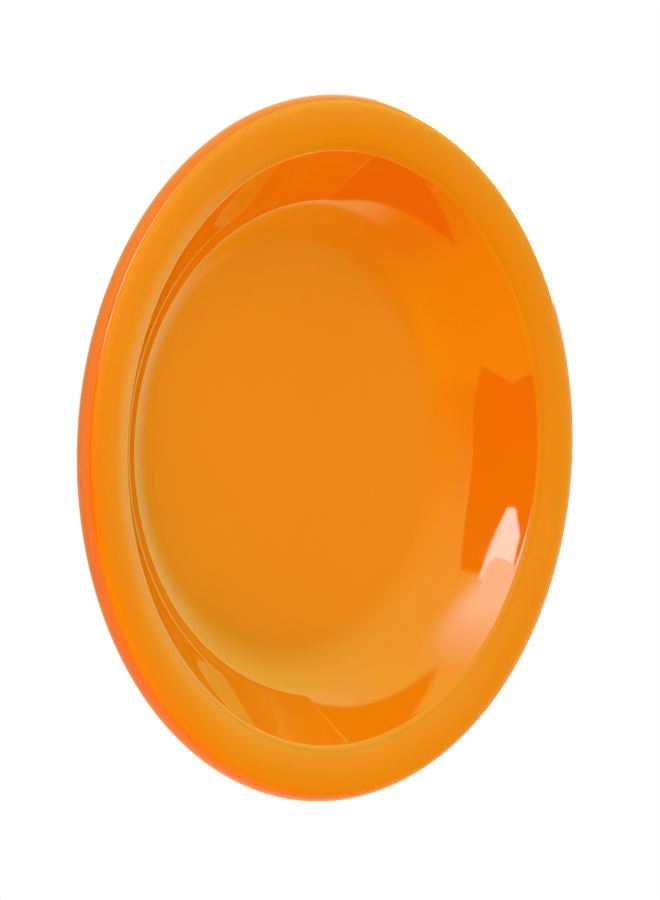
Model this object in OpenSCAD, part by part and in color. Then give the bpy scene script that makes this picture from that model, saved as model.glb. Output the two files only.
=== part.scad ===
// Flying disc, moulded in two shots of the same soft, glossy plastic.
// The flight plate is the first shot: a slightly domed plate with a sloping skirt.
// The rim is the second shot: a wing-shaped ring that wraps and grips the skirt.
// The disc lies as it flies: dome up, hollow side down, and it rests on its band.
// Every section point is [radius from the axis, height above the rest plane], in mm.

/* [Disc] */
// Diameter over the rim's nose
disc_d = 216; // [190:1:270]
// Height of the flat underside's edge above the rest plane
cavity_h = 23.4; // [21:0.1:25]
// Rise of the plate from the edge of its flat part to its centre
dome_rise = 0.8; // [0.3:0.1:2]
// Thickness of the flight plate
plate_t = 2.4; // [1.8:0.1:3.2]

/* [Hollow side] */
// Radius of the large fillet between the flat underside and the sloping wall
fillet_r = 23; // [20:0.5:25]
// Radial distance from the flat underside's edge to the lip's centre
wall_run = 31.6; // [30:0.1:33]
// Radius that the wall is hollowed to in section
wall_r = 200; // [120:5:400]
// Radius of the lip, the edge where the wall turns into the band
lip_r = 3; // [1.5:0.1:3.5]

/* [Rim] */
// Radial distance from the nose's tip to the lip's centre
rim_w = 15.2; // [15:0.1:18]
// Radial distance from the nose's tip to the band's lowest circle
crown_in = 7.2; // [6:0.1:9]
// Radius that the band is crowned to
band_r = 32; // [26:1:45]
// Width of the flat land that the disc rests on
land_w = 1.2; // [0.8:0.1:2]
// Radius of the rounded nose
nose_r = 4.2; // [3:0.1:4.6]
// Radius that the wing, the rim's upper side, is crowned to in section
wing_r = 200; // [120:5:400]

/* [Parting between the shots] */
// Radial distance from the nose's tip to the seam on top
top_seam_in = 33; // [31:0.5:34]
// Radial distance from the nose's tip to the seam on the band
band_seam_in = 15.4; // [15:0.1:15.4]
// Thickness of the skirt that the rim wraps
skirt_t = 2.6; // [2:0.1:3]
// Thickness of the rim's lap over the skirt, at either seam
lap_t = 1.7; // [1.2:0.1:2]
// How far the skirt's dovetail ridge stands into the rim
ridge_h = 1.6; // [1:0.1:2]
// Width of the dovetail ridge at its root
ridge_root = 3; // [2.5:0.1:4]
// Extra width of the dovetail ridge at its crest, on each side
ridge_flare = 0.6; // [0.3:0.1:0.8]

/* [Top side] */
// Number of flight rings raised on the shoulder
ring_count = 4; // [1:1:4]
// Radial distance from the flat part's edge to the innermost flight ring
ring_start = 1.8; // [1.2:0.1:2]
// Distance from one flight ring to the next
ring_pitch = 2.4; // [2:0.1:2.6]
// Width of a flight ring at its foot
ring_w = 1.4; // [1:0.1:1.6]
// Height of a flight ring
ring_h = 0.3; // [0.2:0.05:0.4]
// Radius of the shallow recess round the moulding gate
gate_r = 6; // [4:0.5:10]
// Depth of the gate recess
gate_h = 0.3; // [0.2:0.05:0.4]

/* [Hidden] */
$fn = 180;

plastic = [0.96, 0.49, 0.04];
arc_steps = 8;        // chords in a small or shallow arc of the section
wide_arc_steps = 16;  // chords in the fillet
wall_steps = 4;       // chords in the wall
ring_steps = 4;       // chords in a flight ring

tip_r = disc_d / 2;
lip_c_r = tip_r - rim_w;
flat_r = lip_c_r - wall_run;
dome_r = (flat_r * flat_r + dome_rise * dome_rise) / (2 * dome_rise);
dome_tilt = asin(flat_r / dome_r);
dome_c = [0, cavity_h + dome_rise - dome_r];

// A point at a distance and an angle from a centre, and an arc of such points.
// An arc that carries on from the point before it leaves out its own first point.
function polar(c, r, a) = c + r * [cos(a), sin(a)];
function arc(c, r, from, to, steps, first = 0) =
    [for (i = [first:steps]) polar(c, r, from + (to - from) * i / steps)];
function slope_of(v) = atan2(v[1], v[0]);

// The band is an arc about band_c. Arcs inside it that touch it have their centres
// at a distance band_r less their own radius from band_c.
land_half = asin(land_w / 2 / band_r);
band_c = [tip_r - crown_in, band_r * cos(land_half)];
function centre_in_band(r, radius) =
    let (run = radius - band_c[0], reach = band_r - r)
    [radius, band_c[1] - sqrt(reach * reach - run * run)];
lip_c = centre_in_band(lip_r, lip_c_r);
nose_c = centre_in_band(nose_r, tip_r - nose_r);
lip_join = slope_of(lip_c - band_c);
nose_join = slope_of(nose_c - band_c);

// The point at given distances from p and q, to the right of the way from p to q.
function third_corner(p, q, from_p, from_q) =
    let (span = norm(q - p))
    polar(p, from_p, slope_of(q - p)
        - acos((from_p * from_p + span * span - from_q * from_q) / (2 * from_p * span)));

// The wall is an arc about wall_c that holds the fillet, and touches the lip from outside it.
fillet_c = polar(dome_c, dome_r - fillet_r, 90 - dome_tilt);
wall_c = third_corner(fillet_c, lip_c, wall_r - fillet_r, wall_r + lip_r);
wall_top = slope_of(fillet_c - wall_c);
wall_foot = slope_of(lip_c - wall_c);

// The wing is an arc about wing_c that holds the shoulder and the nose and touches both.
shoulder_r = fillet_r + plate_t;
wing_c = third_corner(fillet_c, nose_c, wing_r - shoulder_r, wing_r - nose_r);
shoulder_join = slope_of(fillet_c - wing_c);
wing_join = slope_of(nose_c - wing_c);

wall_out = polar([0, 0], 1, (wall_top + wall_foot) / 2);
wall_dir = [wall_out[1], -wall_out[0]];

// Where a line from point p along direction u meets a line from point q along direction v.
function meet(p, u, q, v) =
    let (w = q - p, k = (w[0] * v[1] - w[1] * v[0]) / (u[0] * v[1] - u[1] * v[0]))
    p + k * u;

skirt_start = polar(wall_c, wall_r + skirt_t, wall_top);
top_seam_angle = acos((tip_r - top_seam_in - wing_c[0]) / wing_r);
top_seam = polar(wing_c, wing_r, top_seam_angle);
top_step = polar(wing_c, wing_r - lap_t, top_seam_angle);
top_corner = meet(top_step, polar([0, 0], 1, top_seam_angle - 90), skirt_start, wall_dir);
seam_angle = -acos((tip_r - band_seam_in - band_c[0]) / band_r);
band_seam = polar(band_c, band_r, seam_angle);
toe_inner = band_seam + [0, lap_t];
toe_outer = meet(toe_inner, [1, 0], skirt_start, wall_dir);

// The dovetail ridge stands on the middle of the skirt.
ridge_mid = (top_corner + toe_outer) / 2;
ridge = [
    for (p = [[-ridge_root / 2, 0], [-ridge_root / 2 - ridge_flare, ridge_h],
              [ridge_root / 2 + ridge_flare, ridge_h], [ridge_root / 2, 0]])
        ridge_mid + p[0] * wall_dir + p[1] * wall_out
];

// The surface that both shots share, from the seam on top to the seam on the band.
parting = concat([top_seam, top_step, top_corner], ridge, [toe_outer, toe_inner, band_seam]);

function reversed(list) = [for (i = [len(list) - 1:-1:0]) list[i]];

// A point above the top side at a radius: over the shoulder first, and then over the wing.
wing_start_r = polar(wing_c, wing_r, shoulder_join)[0];
function above_arc(c, r, radius, rise) = polar(c, r + rise, acos((radius - c[0]) / r));
function above_top(radius, rise) =
    radius < wing_start_r ? above_arc(fillet_c, shoulder_r, radius, rise)
                          : above_arc(wing_c, wing_r, radius, rise);

// A flight ring is a low rounded ridge, listed here from its outer foot to its inner foot.
ring_radii = [for (i = [0:ring_count - 1]) flat_r + ring_start + i * ring_pitch];
function flight_ring(radius) = [
    for (i = [0:ring_steps])
        above_top(radius + ring_w * (0.5 - i / ring_steps), ring_h * sin(180 * i / ring_steps))
];

gate_tilt = asin(gate_r / (dome_r + plate_t));

// Section of the flight plate: underside outwards, parting upwards, top side inwards.
function plate_underside() = concat(
    arc(dome_c, dome_r, 90, 90 - dome_tilt, arc_steps),
    arc(fillet_c, fillet_r, 90 - dome_tilt, wall_top, wide_arc_steps, 1),
    arc(wall_c, wall_r, wall_top, wall_foot, wall_steps, 1),
    arc(lip_c, lip_r, wall_foot + 180, 360 + lip_join, arc_steps, 1)
);
function plate_top() = concat(
    [for (i = [ring_count - 1:-1:0]) each flight_ring(ring_radii[i])],
    arc(dome_c, dome_r + plate_t, 90 - dome_tilt, 90 - gate_tilt, arc_steps),
    [for (a = [90 - gate_tilt, 90]) polar(dome_c, dome_r + plate_t - gate_h, a)]
);

// Section of the rim: band outwards, round the nose, wing inwards, parting downwards.
function rim_outside() = concat(
    arc(band_c, band_r, seam_angle, -90 - land_half, arc_steps),
    arc(band_c, band_r, -90 + land_half, nose_join, arc_steps),
    arc(nose_c, nose_r, nose_join, 0, arc_steps, 1),
    arc(nose_c, nose_r, 0, wing_join, arc_steps, 1),
    arc(wing_c, wing_r, wing_join, top_seam_angle, arc_steps, 1)
);
function inner_points(list) = [for (i = [1:len(list) - 2]) list[i]];

module flight_plate() {
    color(plastic)
    rotate_extrude()
    polygon(concat(plate_underside(), reversed(parting), plate_top()));
}

module rim() {
    color(plastic)
    rotate_extrude()
    polygon(concat(rim_outside(), inner_points(parting)));
}

flight_plate();
rim();
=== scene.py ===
"""Looks of the flying disc: its two mouldings in glossy orange plastic, seen from the hollow side.

Everything is in metres in the row frame, apart from the section, which is worked out in mm.
The disc lies dome up with its axis on Z. The camera looks up at the hollow side, rolled so
that +X points up in the picture.
"""

import math

import bpy
import numpy as np
from mathutils import Matrix, Vector

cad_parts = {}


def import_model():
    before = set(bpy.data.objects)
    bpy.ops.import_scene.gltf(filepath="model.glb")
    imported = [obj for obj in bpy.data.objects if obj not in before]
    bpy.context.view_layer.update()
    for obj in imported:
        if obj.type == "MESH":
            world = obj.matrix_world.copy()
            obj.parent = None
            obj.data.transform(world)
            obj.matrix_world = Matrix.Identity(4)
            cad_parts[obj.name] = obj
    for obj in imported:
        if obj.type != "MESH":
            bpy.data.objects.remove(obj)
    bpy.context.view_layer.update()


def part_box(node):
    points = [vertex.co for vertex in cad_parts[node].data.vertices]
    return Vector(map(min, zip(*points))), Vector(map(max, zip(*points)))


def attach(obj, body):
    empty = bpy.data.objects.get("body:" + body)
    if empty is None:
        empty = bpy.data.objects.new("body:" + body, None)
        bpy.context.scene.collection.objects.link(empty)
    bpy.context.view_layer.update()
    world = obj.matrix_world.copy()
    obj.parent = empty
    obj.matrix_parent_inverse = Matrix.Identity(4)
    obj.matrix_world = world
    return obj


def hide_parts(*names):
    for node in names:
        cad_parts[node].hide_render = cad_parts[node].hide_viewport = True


MM = 0.001

# Driving dimensions of the section, in mm, as in the CAD source.
CAVITY_H = 23.4
DOME_RISE = 0.8
PLATE_T = 2.4
FILLET_R = 23.0
WALL_RUN = 31.6
WALL_R = 200.0
LIP_R = 3.0
RIM_W = 15.2
CROWN_IN = 7.2
BAND_R = 32.0
LAND_W = 1.2
NOSE_R = 4.2
WING_R = 200.0
TOP_SEAM_IN = 33.0
BAND_SEAM_IN = 15.4
SKIRT_T = 2.6
LAP_T = 1.7
RIDGE_H = 1.6
RIDGE_ROOT = 3.0
RIDGE_FLARE = 0.6
RING_COUNT = 4
RING_START = 1.8
RING_PITCH = 2.4
RING_W = 1.4
RING_H = 0.3
GATE_R = 6.0
GATE_H = 0.3

# How finely the section and the turned surfaces are cut. Lengths are in mm.
SEGMENTS = 480
ARC_STEP = 2.0  # degrees of turn between points of an arc
LINE_STEP = 0.8  # between points of a straight or nearly straight stretch
RING_STEP = 0.1  # between points of the shoulder, across the flight rings
SEAM_EASE = 0.03  # taken off the edges at either side of a seam
EASE_STEPS = 4  # chords in the round of such an edge
GATE_SLOPE = 1.5  # width of the step down into the gate recess, as a multiple of its depth
GATE_STEPS = 8  # chords in that step
SAME_POINT = 1e-5  # distance within which two points count as one
SHARP_ANGLE = 35.0  # degrees between faces above which their edge is shaded as sharp

# Camera: the angle between its axis and the disc's, its roll, and its distance in disc radii.
VIEW_TILT = 46.5
VIEW_LEAN = 2.36
VIEW_RADII = 20.0
RADIUS_IN_FRAME = 0.3933  # the disc's radius, as a share of the frame's long side
OFF_CENTRE = (0.0311, 0.0037)  # the lip's centre, right of and above the frame's, in disc radii
SENSOR = 36.0
CLIP = (0.05, 50.0)

# Plastic: the two colours that its pigment drifts between, its gloss, orange peel and glow.
ORANGE = (0.80, 0.094, 0.0)
DEEP_ORANGE = (0.77, 0.086, 0.0)
PLASTIC_IOR = 1.5
GLOSS_ROUGHNESS = (0.02, 0.05)
PEEL_STRENGTH = 0.05
PEEL_DEPTH = 0.0004
GLOW_WEIGHT = 0.35
GLOW_RADIUS = (1.0, 0.35, 0.05)
GLOW_SCALE = 0.003

# Noise behind the pigment, the wear of the gloss and the peel, each as scale and detail, and
# the part of its range that is used.
PIGMENT_NOISE = (14.0, 3.0)
WEAR_NOISE = (60.0, 4.0)
PEEL_NOISE = (45.0, 2.0)
NOISE_RANGE = (0.3, 0.7)
NOISE_PLACES = {"flight_plate": (0, 0, 0), "rim": (3, 1, 2)}  # so the two don't share their marks

# Square lamps that face the disc: name, azimuth and elevation in degrees, distance, width,
# power, colour, and whether the plastic mirrors them.
LAMPS = (
    ("fill_low", -5, -50, 1.8, 0.6, 15.5, (1.0, 0.8, 0.2), False),
    ("fill_high", -5, 50, 1.8, 0.6, 15.0, (0.48, 1.0, 0.1), False),
    ("key_top", 150, 20, 1.6, 0.7, 12.0, (0.71, 1.0, 0.57), True),
)

# Colours of the surroundings.
TENT_LOW = (0.60, 1.20, 0.06)
TENT_HIGH = (0.85, 2.80, 0.50)
BACKDROP = (1.00, 2.20, 0.80)
SILL = (1.00, 1.90, 0.06)
HORIZON = (1.50, 2.00, 1.10)
GROUND = (0.50, 0.10, 0.01)
ROOF = (0.85, 0.28, 0.02)
FRINGE = (1.10, 2.60, 0.85)
PANEL_NEAR = (3.0, 7.0, 5.8)
PANEL_FAR = (1.5, 2.6, 0.7)
DARK_SIDE = (0.10, 0.08, 0.02)
WINDOW = (11.0, 12.0, 12.0)
DAYLIGHT = (0.80, 1.12, 0.64)
PAGE = (1.0, 1.0, 1.0)

# Shapes in the surroundings. A pair of edges says where a shape starts and where it is full.
# x, y and z are a direction's parts along the camera's right, up and back at rest, row x,
# row y and row z are its parts in the row frame, aside is x / z, and above is y / z.
LEAST_AHEAD = 0.05  # least z that aside and above are worked out with
NEAR_EDGE = (0.20, 0.50)  # z, for the sill and the roof panel
FRONT_EDGE = (0.05, 0.12)  # z, for the opening and the blind
TENT_RISE = (-0.35, 0.60)  # y
BACKDROP_EDGE = (-0.12, -0.50)  # z
BACKDROP_LEVEL = (0.10, 0.03)  # y squared
SILL_EDGE = (-0.36, -0.46)  # above
HORIZON_EDGE = (-0.28, -0.04)  # row z
DAYLIGHT_EDGE = (-0.02, 0.05)  # row z

# The wedges: side in row x, row z of the foot and of the head as polynomials of row y, colour.
WEDGES = (
    (-1, (-0.43, 0.33, 0.17), (-0.413, 0.57, 0.12), GROUND),
    (1, (-0.42, 0.36, 0.17), (-0.406, 0.57, 0.12), ROOF),
)
WEDGE_SIDE = (0.45, 0.60)  # row x towards the wedge's side
WEDGE_EDGE = (-0.006, 0.006)  # row z over the foot, and under the head
FRINGE_FOOT = (-0.16, -0.01)  # row z over the wedge's foot
FRINGE_HEAD = (-0.012, 0.012)  # row z under the wedge's head
FRINGE_START = (0.25, 0.50)  # row y

PANEL_FOOT = (0.52, 0.66)  # y
PANEL_FADE = (0.66, 0.96)  # y
PANEL_SLANT = 0.8  # x gained per unit of y
PANEL_SIDE = (-0.30, -0.40)  # x less the slant

OPENING_FOOT = (-0.404, -0.392)  # above, at the middle of the peak
OPENING_HEAD = (0.77, 0.73)  # above
OPENING_SIDE = (0.121, 0.111)  # aside, where above is 0
PEAK_SLOPE = 1.25  # above lost per unit of aside, on either side of the peak in the sill
SIDE_LEAN = (0.0, 0.1, 0.115)  # aside gained, as a polynomial of above

WINDOW_FOOT = (0.270, 0.290)  # above
WINDOW_HEAD = (0.80, 0.77)  # above
WINDOW_LEFT = (-0.008, -0.001)  # aside less the bend
WINDOW_RIGHT = (-0.066, -0.074)  # aside less the slant
BEND_START = 0.44  # above
BEND_SLOPE = 0.22  # aside gained per unit of above
WINDOW_SLANT = 0.33  # aside gained per unit of above

BLIND_FOOT = (0.595, 0.610)  # above, at the blind's middle
BLIND_HEAD = (1.10, 0.90)  # above
BLIND_SIDE = (0.26, 0.22)  # aside
BLIND_MIDDLE = 0.080  # aside
BLIND_CURVE = 20.0  # above gained per unit of aside squared

# Floor.
FLOOR_SIZE = 12.0
FLOOR_GAP = 0.0002  # from the rest plane down to the floor
FLOOR_COLOUR = (0.80, 0.57, 1.00, 1)  # looks pale grey in the tinted daylight
FLOOR_ROUGHNESS = 0.8
HOLE_GAP = 0.002  # between the rim and the hole in the mirrored floor
HOLE_SIDES = 96


# Section geometry. A point is a numpy pair (radius, height) in mm.
def polar(c, r, a):
    return np.array(c) + r * np.array([math.cos(math.radians(a)), math.sin(math.radians(a))])


def slope_of(v):
    return math.degrees(math.atan2(v[1], v[0]))


def arc(c, r, start, end):
    """Points along an arc, both ends included, fine in turn and in length."""
    length = abs(math.radians(end - start)) * r
    steps = max(2, math.ceil(abs(end - start) / ARC_STEP), math.ceil(length / LINE_STEP))
    return [polar(c, r, a) for a in np.linspace(start, end, steps + 1)]


def line(p, q):
    steps = max(1, math.ceil(np.linalg.norm(np.subtract(q, p)) / LINE_STEP))
    return [np.array(p) + (np.array(q) - np.array(p)) * i / steps for i in range(steps + 1)]


def meet(p, u, q, v):
    """Where the line from p along u meets the line from q along v."""
    w = q - p
    return p + u * (w[0] * v[1] - w[1] * v[0]) / (u[0] * v[1] - u[1] * v[0])


def third_corner(p, q, from_p, from_q):
    """The point at given distances from p and q, to the right of the way from p to q."""
    span = np.linalg.norm(q - p)
    turn = math.acos((from_p**2 + span**2 - from_q**2) / (2 * from_p * span))
    return polar(p, from_p, slope_of(q - p) - math.degrees(turn))


def eased(before, corner, after):
    """A small round in place of a corner: a parabola between points a short way along each side."""
    start = corner + (before - corner) / np.linalg.norm(before - corner) * SEAM_EASE
    end = corner + (after - corner) / np.linalg.norm(after - corner) * SEAM_EASE
    return [
        start * (1 - t) ** 2 + corner * 2 * t * (1 - t) + end * t * t
        for t in np.linspace(0, 1, EASE_STEPS + 1)
    ]


def joined(*stretches):
    """One outline from several stretches, without points that repeat."""
    outline = []
    for p in (p for stretch in stretches for p in stretch):
        if not outline or np.linalg.norm(p - outline[-1]) > SAME_POINT:
            outline.append(p)
    return outline


class Section:
    """The disc's section, built from the driving dimensions round the rim's real radius."""

    def __init__(self, tip_r):
        lip_radius = tip_r - RIM_W
        self.flat_r = lip_radius - WALL_RUN
        self.dome_r = (self.flat_r**2 + DOME_RISE**2) / (2 * DOME_RISE)
        self.tilt = math.degrees(math.asin(self.flat_r / self.dome_r))
        self.dome_c = np.array([0, CAVITY_H + DOME_RISE - self.dome_r])
        self.land = math.degrees(math.asin(LAND_W / 2 / BAND_R))
        self.band_c = np.array([tip_r - CROWN_IN, BAND_R * math.cos(math.radians(self.land))])
        self.lip_c = self.centre_in_band(LIP_R, lip_radius)
        self.nose_c = self.centre_in_band(NOSE_R, tip_r - NOSE_R)
        self.lip_join = slope_of(self.lip_c - self.band_c)
        self.nose_join = slope_of(self.nose_c - self.band_c)

        self.fillet_c = polar(self.dome_c, self.dome_r - FILLET_R, 90 - self.tilt)
        self.wall_c = third_corner(self.fillet_c, self.lip_c, WALL_R - FILLET_R, WALL_R + LIP_R)
        self.wall_top = slope_of(self.fillet_c - self.wall_c)
        self.wall_foot = slope_of(self.lip_c - self.wall_c)

        self.shoulder_r = FILLET_R + PLATE_T
        near, far = WING_R - self.shoulder_r, WING_R - NOSE_R
        self.wing_c = third_corner(self.fillet_c, self.nose_c, near, far)
        self.shoulder_join = slope_of(self.fillet_c - self.wing_c)
        self.wing_join = slope_of(self.nose_c - self.wing_c)
        top_seam_run = tip_r - TOP_SEAM_IN - self.wing_c[0]
        self.top_seam_a = math.degrees(math.acos(top_seam_run / WING_R))
        band_seam_run = tip_r - BAND_SEAM_IN - self.band_c[0]
        self.band_seam_a = -math.degrees(math.acos(band_seam_run / BAND_R))

    def centre_in_band(self, r, radius):
        """Centre of an arc of radius r that touches the band from inside, at a given radius."""
        run = radius - self.band_c[0]
        return np.array([radius, self.band_c[1] - math.sqrt((BAND_R - r) ** 2 - run**2)])

    def parting(self):
        """The surface that both mouldings share, from the seam on top to the seam on the band."""
        wall_out = polar((0, 0), 1, (self.wall_top + self.wall_foot) / 2)
        wall_dir = np.array([wall_out[1], -wall_out[0]])
        skirt = polar(self.wall_c, WALL_R + SKIRT_T, self.wall_top)
        top = polar(self.wing_c, WING_R, self.top_seam_a)
        step = polar(self.wing_c, WING_R - LAP_T, self.top_seam_a)
        corner = meet(step, polar((0, 0), 1, self.top_seam_a - 90), skirt, wall_dir)
        band = polar(self.band_c, BAND_R, self.band_seam_a)
        toe = band + np.array([0, LAP_T])
        toe_out = meet(toe, np.array([1.0, 0.0]), skirt, wall_dir)
        middle = (corner + toe_out) / 2
        root, crest = RIDGE_ROOT / 2, RIDGE_ROOT / 2 + RIDGE_FLARE
        ridge = [(-root, 0), (-crest, RIDGE_H), (crest, RIDGE_H), (root, 0)]
        ridge = [middle + along * wall_dir + out * wall_out for along, out in ridge]
        return [top, step, corner, *ridge, toe_out, toe, band]

    def above_top(self, radius, rise):
        """A point above the top side: over the shoulder, and further out over the wing."""
        start = polar(self.wing_c, WING_R, self.shoulder_join)[0]
        c, r = (self.fillet_c, self.shoulder_r) if radius < start else (self.wing_c, WING_R)
        return polar(c, r + rise, math.degrees(math.acos((radius - c[0]) / r)))

    def shoulder(self):
        """The top side from the seam in to the dome, with the flight rings on it."""
        dome_edge = polar(self.fillet_c, self.shoulder_r, 90 - self.tilt)[0]
        seam = polar(self.wing_c, WING_R, self.top_seam_a)[0]
        rings = [self.flat_r + RING_START + i * RING_PITCH for i in range(RING_COUNT)]
        points = []
        for radius in np.arange(seam, dome_edge, -RING_STEP):
            off = min(abs(radius - ring) for ring in rings) / (RING_W / 2)
            rise = RING_H * math.cos(off * math.pi / 2) ** 2 if off < 1 else 0
            points.append(self.above_top(radius, rise))
        return points

    def plate(self):
        """Outline of the flight plate: underside outwards, parting upwards, top side inwards."""
        parting = self.parting()
        top_r = self.dome_r + PLATE_T
        gate = math.degrees(math.asin(GATE_R / top_r))
        underside = joined(
            arc(self.dome_c, self.dome_r, 90, 90 - self.tilt),
            arc(self.fillet_c, FILLET_R, 90 - self.tilt, self.wall_top),
            arc(self.wall_c, WALL_R, self.wall_top, self.wall_foot),
            arc(self.lip_c, LIP_R, self.wall_foot + 180, 360 + self.lip_join),
            arc(self.band_c, BAND_R, self.lip_join, self.band_seam_a),
        )
        shoulder = self.shoulder()
        dome = arc(self.dome_c, top_r, 90 - self.tilt, 90 - gate)
        recess = arc(self.dome_c, top_r - GATE_H, 90 - gate, 90)
        # The shoulder and the recess leave out their first points, where the rounds take over.
        return joined(
            underside[:-1],
            eased(underside[-2], parting[-1], parting[-2]),
            parting[-2:0:-1],
            eased(parting[1], parting[0], shoulder[3]),
            shoulder[2:],
            dome[:-1],
            gate_edge(dome[-1]),
            recess[3:],
        )

    def rim(self):
        """Outline of the rim: band outwards, round the nose, wing inwards, parting downwards."""
        parting = self.parting()
        band = arc(self.band_c, BAND_R, self.band_seam_a, -90 - self.land)
        wing = arc(self.wing_c, WING_R, self.wing_join, self.top_seam_a)
        return joined(
            eased(parting[-2], parting[-1], band[1]),
            band[1:],
            line(band[-1], polar(self.band_c, BAND_R, -90 + self.land)),
            arc(self.band_c, BAND_R, -90 + self.land, self.nose_join),
            arc(self.nose_c, NOSE_R, self.nose_join, 0),
            arc(self.nose_c, NOSE_R, 0, self.wing_join),
            wing[:-1],
            eased(wing[-2], parting[0], parting[1]),
            parting[1:-1],
        )


def gate_edge(edge):
    """The rounded step down into the gate recess, from its edge inwards."""
    return [
        edge - np.array([GATE_SLOPE * t, math.sin(t * math.pi / 2) ** 2]) * GATE_H
        for t in np.linspace(0, 1, GATE_STEPS + 1)
    ]


def add_object(name, data):
    obj = bpy.data.objects.new(name, data)
    bpy.context.scene.collection.objects.link(obj)
    return obj


def lathe(name, outline, closed):
    """Turns an outline round Z into a mesh. An open outline starts and ends on the axis."""
    body = outline if closed else outline[1:-1]
    rows = len(body)
    turns = np.linspace(0, 2 * math.pi, SEGMENTS, endpoint=False)
    points = np.array(body) * MM
    ring = np.stack([np.cos(turns), np.sin(turns)], axis=-1)
    verts = [(r * c, r * s, z) for r, z in points for c, s in ring]
    faces = []
    for i in range(rows if closed else rows - 1):
        a, b = i * SEGMENTS, (i + 1) % rows * SEGMENTS
        for j in range(SEGMENTS):
            k = (j + 1) % SEGMENTS
            faces.append((a + j, a + k, b + k, b + j))
    if not closed:
        for end, row, flip in ((outline[0], 0, True), (outline[-1], rows - 1, False)):
            tip = len(verts)
            verts.append((0.0, 0.0, float(end[1]) * MM))
            for j in range(SEGMENTS):
                pair = (row * SEGMENTS + j, row * SEGMENTS + (j + 1) % SEGMENTS)
                faces.append((tip, *(reversed(pair) if flip else pair)))
    mesh = bpy.data.meshes.new(name)
    mesh.from_pydata(verts, [], faces)
    mesh.validate()
    mesh.update()
    mesh.shade_smooth()
    mesh.set_sharp_from_angle(angle=math.radians(SHARP_ANGLE))
    return add_object(name, mesh)


# Materials.
def node(tree, kind, **settings):
    """Adds a shader node. Settings are properties, or socket values where the name is a socket's."""
    made = tree.nodes.new("ShaderNode" + kind)
    for key, value in settings.items():
        if hasattr(made, key):
            setattr(made, key, value)
        else:
            made.inputs[key].default_value = value
    return made


def noise(tree, coords, scale, detail):
    made = node(tree, "TexNoise", Scale=scale, Detail=detail)
    tree.links.new(coords, made.inputs["Vector"])
    return made.outputs["Fac"]


def ramp(tree, value, low, high):
    """Maps the used part of a noise's range to a range of another value."""
    made = node(tree, "MapRange")
    names = ("From Min", "From Max", "To Min", "To Max")
    for name, number in zip(names, (*NOISE_RANGE, low, high)):
        made.inputs[name].default_value = number
    tree.links.new(value, made.inputs["Value"])
    return made.outputs["Result"]


def moulded_plastic(name, noise_place):
    """Glossy, slightly translucent plastic with drifting pigment, faint orange peel and fine wear."""
    material = bpy.data.materials.new(name)
    material.use_nodes = True
    tree = material.node_tree
    shader = tree.nodes["Principled BSDF"]
    place = node(tree, "Mapping", Location=noise_place)
    tree.links.new(node(tree, "TexCoord").outputs["Object"], place.inputs["Vector"])
    where = place.outputs["Vector"]

    pigment = node(tree, "Mix", data_type="RGBA")
    pigment.inputs["A"].default_value = (*DEEP_ORANGE, 1)
    pigment.inputs["B"].default_value = (*ORANGE, 1)
    drift = ramp(tree, noise(tree, where, *PIGMENT_NOISE), 0.0, 1.0)
    tree.links.new(drift, pigment.inputs["Factor"])
    tree.links.new(pigment.outputs["Result"], shader.inputs["Base Color"])

    wear = ramp(tree, noise(tree, where, *WEAR_NOISE), *GLOSS_ROUGHNESS)
    tree.links.new(wear, shader.inputs["Roughness"])

    peel = node(tree, "Bump", Strength=PEEL_STRENGTH, Distance=PEEL_DEPTH)
    tree.links.new(noise(tree, where, *PEEL_NOISE), peel.inputs["Height"])
    tree.links.new(peel.outputs["Normal"], shader.inputs["Normal"])

    shader.inputs["IOR"].default_value = PLASTIC_IOR
    shader.inputs["Subsurface Weight"].default_value = GLOW_WEIGHT
    shader.inputs["Subsurface Radius"].default_value = GLOW_RADIUS
    shader.inputs["Subsurface Scale"].default_value = GLOW_SCALE
    return material


# Studio. Its directions are the camera's own at rest, fixed in the row frame.
def view_axes():
    """Right, up and back of the camera at rest, in the row frame."""
    tilt, lean = math.radians(VIEW_TILT), math.radians(VIEW_LEAN)
    across = Vector((0, math.cos(tilt), -math.sin(tilt)))
    along = Vector((1, 0, 0))
    back = Vector((0, -math.sin(tilt), -math.cos(tilt)))
    right = across * math.cos(lean) + along * math.sin(lean)
    up = along * math.cos(lean) - across * math.sin(lean)
    return right, up, back


def add_camera(radius, lip_height):
    """Frames the disc as photographed: its lip's centre a little right of and above the middle."""
    right, up, back = view_axes()
    data = bpy.data.cameras.new("view")
    data.sensor_width = SENSOR
    data.lens = SENSOR * RADIUS_IN_FRAME * VIEW_RADII
    data.clip_start, data.clip_end = CLIP
    cam = add_object("view", data)
    target = Vector((0, 0, lip_height)) - (right * OFF_CENTRE[0] + up * OFF_CENTRE[1]) * radius
    turn = Matrix((right, up, back)).transposed().to_4x4()
    cam.matrix_world = Matrix.Translation(target + back * radius * VIEW_RADII) @ turn
    bpy.context.scene.camera = cam


def towards(azimuth, elevation):
    """A direction seen from the disc: azimuth from the camera to its right, elevation upwards."""
    right, up, back = view_axes()
    a, e = math.radians(azimuth), math.radians(elevation)
    return (right * math.sin(a) + back * math.cos(a)) * math.cos(e) + up * math.sin(e)


def add_lamp(name, azimuth, elevation, distance, width, power, colour, mirrored):
    data = bpy.data.lights.new(name, "AREA")
    data.shape = "SQUARE"
    data.size = width
    data.energy = power
    data.color = colour
    lamp = add_object(name, data)
    direction = towards(azimuth, elevation)
    lamp.location = direction * distance
    lamp.rotation_mode = "QUATERNION"
    lamp.rotation_quaternion = direction.to_track_quat("Z", "Y")
    lamp.visible_camera = False
    lamp.visible_glossy = mirrored


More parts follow.
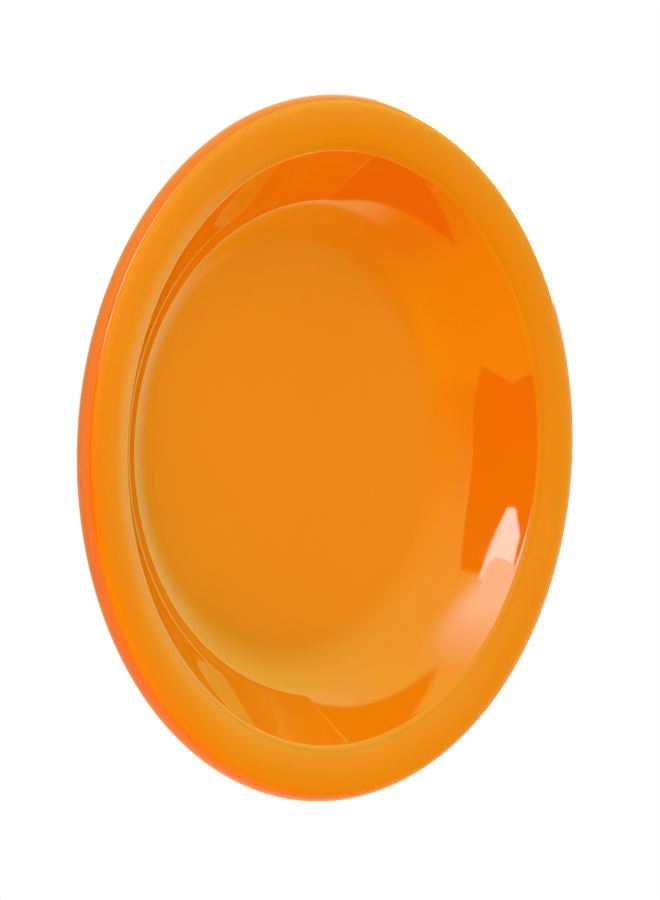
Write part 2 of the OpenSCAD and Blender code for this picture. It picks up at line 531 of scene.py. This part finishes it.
class Sky:
    """A direction from the disc and its parts, and the sums that make shapes of them."""

    def __init__(self, tree):
        self.tree = tree
        self.direction = node(tree, "TexCoord").outputs["Generated"]
        self.x, self.y, self.z = (self.along(axis) for axis in view_axes())
        self.row_x, self.row_y, self.row_z = (self.along(axis) for axis in Matrix.Identity(3))
        ahead = self.math("MAXIMUM", self.z, LEAST_AHEAD)
        self.aside = self.math("DIVIDE", self.x, ahead)
        self.above = self.math("DIVIDE", self.y, ahead)

    def along(self, axis):
        """How far the direction points along an axis, from -1 to 1."""
        made = node(self.tree, "VectorMath", operation="DOT_PRODUCT")
        self.tree.links.new(self.direction, made.inputs[0])
        made.inputs[1].default_value = axis
        return made.outputs["Value"]

    def math(self, operation, a, b=0.0):
        made = node(self.tree, "Math", operation=operation)
        for socket, value in zip(made.inputs, (a, b)):
            if isinstance(value, (int, float)):
                socket.default_value = value
            else:
                self.tree.links.new(value, socket)
        return made.outputs["Value"]

    def minus(self, a, b):
        return self.math("SUBTRACT", a, b)

    def times(self, first, *others):
        for other in others:
            first = self.math("MULTIPLY", first, other)
        return first

    def polynomial(self, value, terms):
        """The sum of terms times rising powers of a value, the constant term first."""
        total = terms[-1]
        for term in reversed(terms[:-1]):
            total = self.math("ADD", self.times(value, total), term)
        return total

    def smooth(self, value, edges):
        """0 up to the first edge and 1 from the second, whichever is higher, smooth in between."""
        low, high = sorted(edges)
        rising = edges[0] == low
        made = node(self.tree, "MapRange", interpolation_type="SMOOTHSTEP")
        made.inputs["From Min"].default_value = low
        made.inputs["From Max"].default_value = high
        made.inputs["To Min"].default_value = 0.0 if rising else 1.0
        made.inputs["To Max"].default_value = 1.0 if rising else 0.0
        self.tree.links.new(value, made.inputs["Value"])
        return made.outputs["Result"]

    def mix(self, factor, a, b):
        """Colour a where the factor is 0, and colour b where it is 1."""
        made = node(self.tree, "Mix", data_type="RGBA")
        self.tree.links.new(factor, made.inputs["Factor"])
        for name, value in (("A", a), ("B", b)):
            if isinstance(value, tuple):
                made.inputs[name].default_value = (*value, 1)
            else:
                self.tree.links.new(value, made.inputs[name])
        return made.outputs["Result"]


def tent(sky):
    """The pale tent: a backdrop behind the disc, a sill low on the near side, a light horizon."""
    colour = sky.mix(sky.smooth(sky.y, TENT_RISE), TENT_LOW, TENT_HIGH)
    level = sky.smooth(sky.times(sky.y, sky.y), BACKDROP_LEVEL)
    colour = sky.mix(sky.times(sky.smooth(sky.z, BACKDROP_EDGE), level), colour, BACKDROP)
    sill = sky.times(sky.smooth(sky.above, SILL_EDGE), sky.smooth(sky.z, NEAR_EDGE))
    colour = sky.mix(sill, colour, SILL)
    return sky.mix(sky.smooth(sky.row_z, HORIZON_EDGE), colour, HORIZON)


def wedge(sky, colour, side, foot, head, shade):
    """A darker wedge under the disc's plane, on one side of it, with a pale fringe at its foot."""
    over_foot = sky.minus(sky.row_z, sky.polynomial(sky.row_y, foot))
    under_head = sky.minus(sky.polynomial(sky.row_y, head), sky.row_z)
    within = sky.smooth(sky.times(sky.row_x, side), WEDGE_SIDE)
    fringe = sky.times(
        sky.smooth(over_foot, FRINGE_FOOT),
        sky.smooth(sky.row_y, FRINGE_START),
        within,
        sky.smooth(under_head, FRINGE_HEAD),
    )
    dark = sky.times(
        sky.smooth(over_foot, WEDGE_EDGE),
        sky.smooth(under_head, WEDGE_EDGE),
        within,
    )
    return sky.mix(dark, sky.mix(fringe, colour, FRINGE), shade)


def roof_panel(sky, colour):
    """A panel that is bright along its foot, fades upwards, and ends at a slant on its right."""
    side = sky.minus(sky.x, sky.times(sky.y, PANEL_SLANT))
    panel = sky.times(
        sky.smooth(sky.y, PANEL_FOOT),
        sky.smooth(sky.z, NEAR_EDGE),
        sky.smooth(side, PANEL_SIDE),
    )
    glow = sky.mix(sky.smooth(sky.y, PANEL_FADE), PANEL_NEAR, PANEL_FAR)
    return sky.mix(panel, colour, glow)


def opening(sky, colour):
    """The dark opening. The sill peaks in the middle of it, and its right side leans outwards."""
    peak = sky.times(sky.math("ABSOLUTE", sky.aside), PEAK_SLOPE)
    lean = sky.polynomial(sky.math("MAXIMUM", sky.above, 0.0), SIDE_LEAN)
    dark = sky.times(
        sky.smooth(sky.math("ADD", sky.above, peak), OPENING_FOOT),
        sky.smooth(sky.minus(sky.aside, lean), OPENING_SIDE),
        sky.smooth(sky.above, OPENING_HEAD),
        sky.smooth(sky.z, FRONT_EDGE),
    )
    return sky.mix(dark, colour, DARK_SIDE)


def window(sky, colour):
    """The window in the opening. It narrows downwards, and its left side bends near the top."""
    slanted = sky.minus(sky.aside, sky.times(sky.above, WINDOW_SLANT))
    over_bend = sky.math("MAXIMUM", sky.minus(sky.above, BEND_START), 0.0)
    bent = sky.minus(sky.aside, sky.times(over_bend, BEND_SLOPE))
    light = sky.times(
        sky.smooth(slanted, WINDOW_RIGHT),
        sky.smooth(bent, WINDOW_LEFT),
        sky.smooth(sky.above, WINDOW_FOOT),
        sky.smooth(sky.above, WINDOW_HEAD),
    )
    return sky.mix(light, colour, WINDOW)


def blind(sky, colour):
    """A bright blind in front of the window's top, with a rounded foot."""
    off_middle = sky.minus(sky.aside, BLIND_MIDDLE)
    curve = sky.times(off_middle, off_middle, BLIND_CURVE)
    light = sky.times(
        sky.smooth(sky.minus(sky.above, curve), BLIND_FOOT),
        sky.smooth(sky.z, FRONT_EDGE),
        sky.smooth(sky.aside, BLIND_SIDE),
        sky.smooth(sky.above, BLIND_HEAD),
    )
    return sky.mix(light, colour, PANEL_NEAR)


def add_surroundings():
    """The studio that lights the disc and that it mirrors. The camera sees a white page instead."""
    world = bpy.data.worlds.new("studio")
    bpy.context.scene.world = world
    world.use_nodes = True
    tree = world.node_tree
    sky = Sky(tree)
    colour = tent(sky)
    for shape in WEDGES:
        colour = wedge(sky, colour, *shape)
    for shape in (roof_panel, opening, window, blind):
        colour = shape(sky, colour)
    colour = sky.mix(sky.smooth(sky.row_z, DAYLIGHT_EDGE), colour, DAYLIGHT)
    colour = sky.mix(node(tree, "LightPath").outputs["Is Camera Ray"], colour, PAGE)
    tree.links.new(colour, tree.nodes["Background"].inputs["Color"])


def pale_floor():
    """A material that shows on a surface's upper side only, so that nothing hides the disc."""
    material = bpy.data.materials.new("pale_floor")
    material.use_nodes = True
    tree = material.node_tree
    shader = tree.nodes["Principled BSDF"]
    shader.inputs["Base Color"].default_value = FLOOR_COLOUR
    shader.inputs["Roughness"].default_value = FLOOR_ROUGHNESS
    clear = node(tree, "BsdfTransparent")
    sides = node(tree, "MixShader")
    tree.links.new(node(tree, "NewGeometry").outputs["Backfacing"], sides.inputs["Fac"])
    tree.links.new(shader.outputs["BSDF"], sides.inputs[1])
    tree.links.new(clear.outputs["BSDF"], sides.inputs[2])
    tree.links.new(sides.outputs["Shader"], tree.nodes["Material Output"].inputs["Surface"])
    return material


def show_to(obj, rays):
    """Leaves an object visible to one kind of ray."""
    obj.visible_camera = rays == "camera"
    obj.visible_glossy = rays == "glossy"
    obj.visible_diffuse = obj.visible_transmission = obj.visible_shadow = False


def add_floor(material):
    """The floor under the disc, which only the camera sees."""
    bpy.ops.mesh.primitive_plane_add(size=FLOOR_SIZE, location=(0, 0, -FLOOR_GAP))
    floor = bpy.context.object
    floor.name = "floor"
    floor.data.materials.append(material)
    show_to(floor, "camera")


def add_mirrored_floor(material, hole):
    """What the top side mirrors of the floor. The hollow side mirrors none, through the hole."""
    turns = [2 * math.pi * i / HOLE_SIDES for i in range(HOLE_SIDES)]
    verts = [
        (r * math.cos(a), r * math.sin(a), -FLOOR_GAP)
        for r in (hole, FLOOR_SIZE / 2)
        for a in turns
    ]
    faces = []
    for i in range(HOLE_SIDES):
        j = (i + 1) % HOLE_SIDES
        faces.append((i, HOLE_SIDES + i, HOLE_SIDES + j, j))
    mesh = bpy.data.meshes.new("mirrored_floor")
    mesh.from_pydata(verts, [], faces)
    mesh.materials.append(material)
    mirrored = add_object("mirrored_floor", mesh)
    show_to(mirrored, "glossy")


def main():
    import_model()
    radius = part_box("rim")[1].x
    section = Section(radius / MM)
    plate = lathe("flight_plate_moulding", section.plate(), closed=False)
    rim = lathe("rim_moulding", section.rim(), closed=True)
    for piece, cad_node in ((plate, "flight_plate"), (rim, "rim")):
        plastic = moulded_plastic(cad_node + "_orange", NOISE_PLACES[cad_node])
        piece.data.materials.append(plastic)
        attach(piece, "root")
        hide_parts(cad_node)
    add_camera(radius, (section.lip_c[1] - LIP_R) * MM)
    add_surroundings()
    for lamp in LAMPS:
        add_lamp(*lamp)
    pale = pale_floor()
    add_floor(pale)
    add_mirrored_floor(pale, radius + HOLE_GAP)
    bpy.context.scene.view_settings.view_transform = "Standard"


main()
